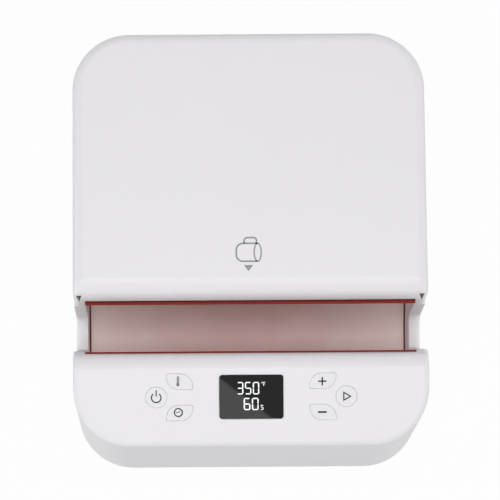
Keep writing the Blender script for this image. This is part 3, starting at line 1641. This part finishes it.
@dataclass
class Drive:
    """The guides, the screw with its gears and motor, and the bracket that they move."""

    rod_radius: float = 4.0
    rod_x: float = 52.0
    height: float = 16.0
    clearance: float = 0.3
    block_half: float = 62.0
    front_block: Flat = (-36.0, -26.0)
    rear_block: Flat = (80.0, 86.0)
    motor: Flat = (21.777, 24.0)
    lead: float = 8.0
    starts: int = 4
    thread_depth: float = 0.85
    thread_end: float = 79.0

    def drill(self, block: Piece, ends: Flat) -> None:
        """Bores a block for both rods and for the screw."""
        for x in (-self.rod_x, 0.0, self.rod_x):
            carve(block, bore_cut(self.rod_radius + self.clearance, x, self.height, *ends))

    def rods(self) -> None:
        """Two ground rods."""
        profile = bar(self.rod_radius, -38.0, 88.0, 0.65)
        for side, x in (("left", -self.rod_x), ("right", self.rod_x)):
            rod = Draft().turned(profile, (x, 0.0, self.height), Axis.ALONG, 64)
            rod.dress(f"ground_rod_{side}", STEEL, "base", f"guide_rod_{side}")

    def blocks(self) -> None:
        """The front block with its screws, and the rear block that holds rods, screw and motor."""
        wide = 2 * self.block_half
        outline = frame_outline(0.0, 13.7, wide, 13.6, 1.5)
        front = Draft().plate(outline, *self.front_block, 0.6, facing).piece("front_rod_clamp")
        heads = Draft()
        for x in (-40.0, -26.0, 26.0, 40.0):
            seat = (x, sum(self.front_block) / 2, 17.5)
            carve(front, Draft().turned(solid((3.0, 0.0), (3.0, 9.0)), seat, Axis.UPRIGHT))
            heads.head(seat, Axis.UPRIGHT)
        self.drill(front, self.front_block)
        dress(front, GREY, "base", "front_rod_block", angle=35.0)
        heads.dress("front_clamp_screws", DARK_STEEL, "base", angle=35.0)
        outline = frame_outline(0.0, 21.9, wide, 30.0, 5.0)
        rear = Draft().plate(outline, *self.rear_block, 0.5, facing).piece("rear_bearing_plate")
        self.drill(rear, self.rear_block)
        carve(rear, bore_cut(7.3, *self.motor, *self.rear_block))
        dress(rear, GREY, "base", "rear_bearing_block", angle=35.0)

    def screw(self) -> None:
        """The lead screw with four starts, a bearing neck and a plain end for its gear."""
        corners = ((0.0, 0.0), (0.2, 0.0), (0.36, 0.6), (0.5, 1.0), (0.7, 1.0), (0.86, 0.6))

        def ring(radius: float, y: float, depth: float) -> Ring:
            points: Ring = []
            for start in range(self.starts):
                for share, drop in corners:
                    lead = min(y, self.thread_end) / self.lead
                    turn = 2 * math.pi * ((start + share) / self.starts + lead)
                    reach = radius - depth * drop
                    points.append((reach * math.cos(turn), y, self.height - reach * math.sin(turn)))
            return points

        radius = self.rod_radius
        rings = [ring(radius - 0.9, -35.0, 0.1)]
        rings += [ring(radius, y, self.thread_depth) for y in spread(-34.4, self.thread_end, 340)]
        rings += [ring(reach, y, 0.0) for reach, y in (
            (radius, 79.5), (radius, 85.8), (radius - 0.2, 86.0), (2.5, 86.0), (2.5, 94.2),
            (2.1, 94.6))]
        Draft().skin(rings).dress("threaded_screw", STEEL, "screw", "lead_screw", angle=28.0,
                                  weighted=False)

    def gears(self) -> None:
        """The brass gear on the screw and the moulded one on the motor's shaft, in mesh."""
        tilt = math.atan2(self.motor[1] - self.height, -self.motor[0])
        Gear("screw_gear_brass", "screw_gear", "screw", BRASS, 18, tilt + math.pi / 18,
             (0.0, self.height)).build()
        Gear("motor_gear_moulded", "motor_gear", "rotor", BLACK, 40, tilt + math.pi, self.motor,
             web=(5.8, 13.4)).build()

    def motor_unit(self) -> None:
        """The motor with its stacked gearbox, its tabs and its flatted shaft."""
        x, z = self.motor
        profile = [(3.0, 22.4), (3.0, 23.6), (8.5, 23.6), (9.2, 23.9), (9.5, 24.7), (9.5, 55.5),
                   (10.6, 55.7), (11.0, 56.1)]
        for seam in (61.4, 67.4, 73.4):
            profile += [(11.0, seam), (10.7, seam + 0.2), (10.7, seam + 0.6), (11.0, seam + 0.8)]
        profile += [(11.0, 79.3), (10.6, 79.7), (7.0, 79.7), (7.0, 81.4), (6.7, 81.7)]
        can = Draft().turned(solid(*profile), (x, 0.0, z), Axis.ALONG, 64)
        can.dress("geared_motor", DARK_STEEL, "base", "gear_motor")
        tabs = Draft()
        for middle in (x - 5.4, x + 5.4):
            tabs.block((middle - 1.2, 21.7, z - 0.25), (middle + 1.2, 24.0, z + 0.25), 0.1)
        tabs.dress("motor_tabs", BRASS, "base")
        circles = [Axis.ALONG.ring(radius, (x, 0.0, z), y, 40)
                   for radius, y in ((2.2, 82.0), (2.5, 82.3), (2.5, 94.3), (2.2, 94.6))]
        rings = [[(px, py, min(pz, z + 2.0)) for px, py, pz in circle] for circle in circles]
        Draft().skin(rings).dress("flatted_shaft", STEEL, "rotor", "motor_shaft")

    def bracket(self) -> None:
        """The cast bracket: a beam with two windows, and legs round the bushes and the nut."""
        low, high = -10.3, 8.7

        def plate(outline: Shape, near: float, far: float, edge: float = 0.6) -> Draft:
            return Draft().plate(outline, near, far, edge, facing)

        beam = frame_outline(0.0, 55.0, 120.0, 34.0, 4.0)
        cast = plate(beam, 2.7, high, 0.8).piece("cast_bracket")
        foot = 7.6
        for x, wide, top, bore in ((-self.rod_x, 17.0, 24.5, 6.6), (0.0, 19.0, 25.5, 7.0),
                                   (self.rod_x, 17.0, 24.5, 6.6)):
            web = plate(frame_outline(x, 29.0, wide, 30.0, 1.0), 2.75, high - 0.05)
            leg = plate(frame_outline(x, (foot + top) / 2, wide, top - foot, 3.0), low, high)
            carve(cast, web, Cut.JOINED)
            carve(cast, leg, Cut.JOINED)
            carve(cast, bore_cut(bore, x, self.height, low, high))
        for x in (-29.0, 29.0):
            carve(cast, plate(frame_outline(x, 56.0, 36.0, 15.0, 4.0), 0.0, 12.0, 0.1))
        heads = Draft()
        for x in (-55.0, 0.0, 55.0):
            for z in (48.0, 66.0):
                carve(cast, Draft().turned(solid((3.0, 6.0), (3.0, 12.0)), (x, 0.0, z), Axis.ALONG))
                heads.head((x, 6.0, z), Axis.ALONG)
        dress(cast, ALUMINIUM, "carriage", "carriage_bracket", angle=35.0)
        heads.dress("bracket_screws", DARK_STEEL, "carriage", angle=35.0)

    def bearings(self) -> None:
        """The two bushes on the rods and the nut on the screw."""
        profile = [(4.3, -9.3), (5.9, -9.3), (6.3, -8.9), (6.3, 7.3), (5.9, 7.7), (4.3, 7.7)]
        for side, x in (("left", -self.rod_x), ("right", self.rod_x)):
            bush = Draft().turned(profile, (x, 0.0, self.height), Axis.ALONG, hollow=True)
            bush.dress(f"turned_bush_{side}", BRASS, "carriage", f"guide_bush_{side}")
        profile = [(4.3, -13.2), (8.0, -13.2), (8.3, -12.9), (8.3, -10.9), (8.0, -10.6),
                   (6.7, -10.6), (6.7, 5.0), (6.3, 5.4), (4.3, 5.4)]
        nut = Draft().turned(profile, (0.0, 0.0, self.height), Axis.ALONG, hollow=True)
        nut.dress("flanged_nut", BRASS, "carriage", "lead_nut")
        screw = solid((0.9, -13.6), (1.1, -13.4), (1.1, -13.2))
        heads = Draft()
        for x, z in arc(0.0, self.height, 6.4, 45, 315, 3):
            heads.turned(screw, (x, 0.0, z), Axis.ALONG, 16)
        heads.dress("nut_screws", DARK_STEEL, "carriage")

    def build(self) -> None:
        """The whole drive."""
        self.rods()
        self.blocks()
        self.screw()
        self.gears()
        self.motor_unit()
        self.bracket()
        self.bearings()


@dataclass
class Electrics:
    """The mains socket, the power board with its parts, and the control board behind the keys."""

    panel: Panel
    inlet: Flat = (-52.1, 42.0)
    board_x: float = -71.5
    board_top: float = 11.6

    def socket(self) -> None:
        """The mains socket with its two pins."""
        x, z = self.inlet
        block, flange = frame_outline(x, z, 26.0, 18.0, 1.0), frame_outline(x, z, 30.0, 22.0, 1.0)
        cavity = frame_outline(x, z, 21.6, 13.6, 2.4)
        rings = [(block, -0.4, 88.4), (block, 0.0, 88.8), (block, 0.0, 101.4), (flange, 0.0, 101.4),
                 (flange, 0.0, 103.0), (flange, -0.4, 103.4), (cavity, 0.4, 103.4),
                 (cavity, 0.0, 103.0), (cavity, 0.0, 92.4)]
        shell = Draft().skin([[facing(u, v, y) for u, v in outline(grow)]
                              for outline, grow, y in rings])
        shell.dress("mains_socket", BLACK, "base", "mains_inlet")
        pins = Draft()
        for place in (x - 4.3, x + 4.3):
            pins.turned(bar(1.2, 92.4, 101.4, 0.5), (place, 0.0, z), Axis.ALONG, 24)
        pins.dress("mains_pins", STEEL, "base")

    def power_board(self) -> None:
        """The power board: lacquered plate, posts, choke, capacitor, relay and terminals."""
        x, top = self.board_x, self.board_top
        plate = Draft().plate(frame_outline(x, 40.0, 17.0, 76.0, 1.0), top - 1.6, top, 0.12)
        plate.dress("power_board_plate", BOARD, "base", "power_board")
        posts = Draft()
        for y in (13.0, 67.0):
            posts.turned(bar(3.0, FLOOR_LEVEL, top - 1.6, 0.2), (-69.0, y, 0.0), Axis.UPRIGHT, 6)
        posts.dress("power_board_posts", BRASS, "base", angle=None)
        black = Draft()
        for low, high in ((14.0, 15.4), (32.6, 34.0)):
            flange = frame_outline(x, (top + 25.0) / 2, 15.0, 25.0 - top, 1.0)
            black.plate(flange, low, high, 0.2, facing)
        can = solid((6.2, top), (6.5, 12.0), (6.5, 13.2), (6.1, 13.7), (6.5, 14.2), (6.5, 26.0),
                    (6.2, 26.5), (5.6, 26.6), (5.2, 26.3))
        black.turned(can, (x, 46.0, 0.0), Axis.UPRIGHT)
        black.dress("choke_frame_and_capacitor", BLACK, "base", angle=40.0)
        coil = [(CORE, 15.6)]
        for turn in range(15):
            middle = 16.4 + 1.1 * turn
            coil += [(5.2, middle - 0.5), (5.6, middle - 0.35), (5.75, middle),
                     (5.6, middle + 0.35)]
        winding = Draft().turned([*coil, (CORE, 32.4)], (x, 0.0, 18.4), Axis.ALONG, 40)
        winding.dress("choke_winding", BRASS, "base", angle=50.0, weighted=False)
        grey = Draft().block((x - 6.0, 60.0, top), (x + 6.0, 76.0, 23.4), 0.8)
        grey.block((x - 6.0, 3.0, top), (x + 6.0, 9.4, 20.0), 0.5)
        grey.dress("relay_and_terminals", GREY, "base", angle=40.0)

    def control_board(self) -> None:
        """The control board with a switch under each key, its chips and the display module."""
        place, level = self.panel.deck.place, self.panel.level

        def plate(u: float, v: float, wide: float, long: float, radius: float, low: float,
                  high: float, edge: float, draft: Draft | None = None) -> Draft:
            outline = frame_outline(u, v, wide, long, radius)
            return (draft or Draft()).plate(outline, low, high, edge, place)

        face, module_back = -6.2, -4.6
        board = plate(0.0, level, 116.0, 29.0, 1.6, -7.8, face, 0.12)
        board.dress("control_board_plate", BOARD, "base", "control_board")
        black = Draft()
        for key in Key:
            u, v = key.centre(self.panel)
            plate(u, v, 4.0, 4.0, 0.3, face, -4.9, 0.12, black)
            black.prism(arc(u, v, 1.1, 0, 345, 23), -5.0, -4.1, place)
        plate(-24.0, level, 6.0, 6.0, 0.2, face, face + 1.0, 0.1, black)
        plate(24.0, level, 5.0, 7.0, 0.2, face, face + 1.0, 0.1, black)
        black.dress("switches_and_chips", BLACK, "base", angle=40.0)
        module = plate(0.0, level, 28.0, 19.0, 1.8, module_back, -2.0, 0.25)
        module.dress("display_block", BLACK, "base", "display_module")
        header = plate(0.0, level + 7.5, 20.0, 2.2, 0.2, face, module_back, 0.1)
        header.dress("display_header", GREY, "base")

    def build(self) -> None:
        """All electrical pieces."""
        self.socket()
        self.power_board()
        self.control_board()


def main() -> None:
    """Builds the press, its studio and its camera."""
    logging.basicConfig(level=logging.INFO, format="%(name)s %(message)s")
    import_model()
    Studio().build()
    panel = Panel()
    housing = Housing()
    housing.shell(panel.outlines())
    housing.feet()
    housing.base()
    lid = Lid()
    lid.cap()
    lid.mark()
    wrap = Wrap(housing)
    wrap.mats()
    wrap.linings()
    wrap.front_jaw()
    wrap.rear_jaw()
    panel.keys()
    panel.marks()
    panel.display()
    Drive().build()
    Electrics(panel).build()


if __name__ == "__main__":
    main()
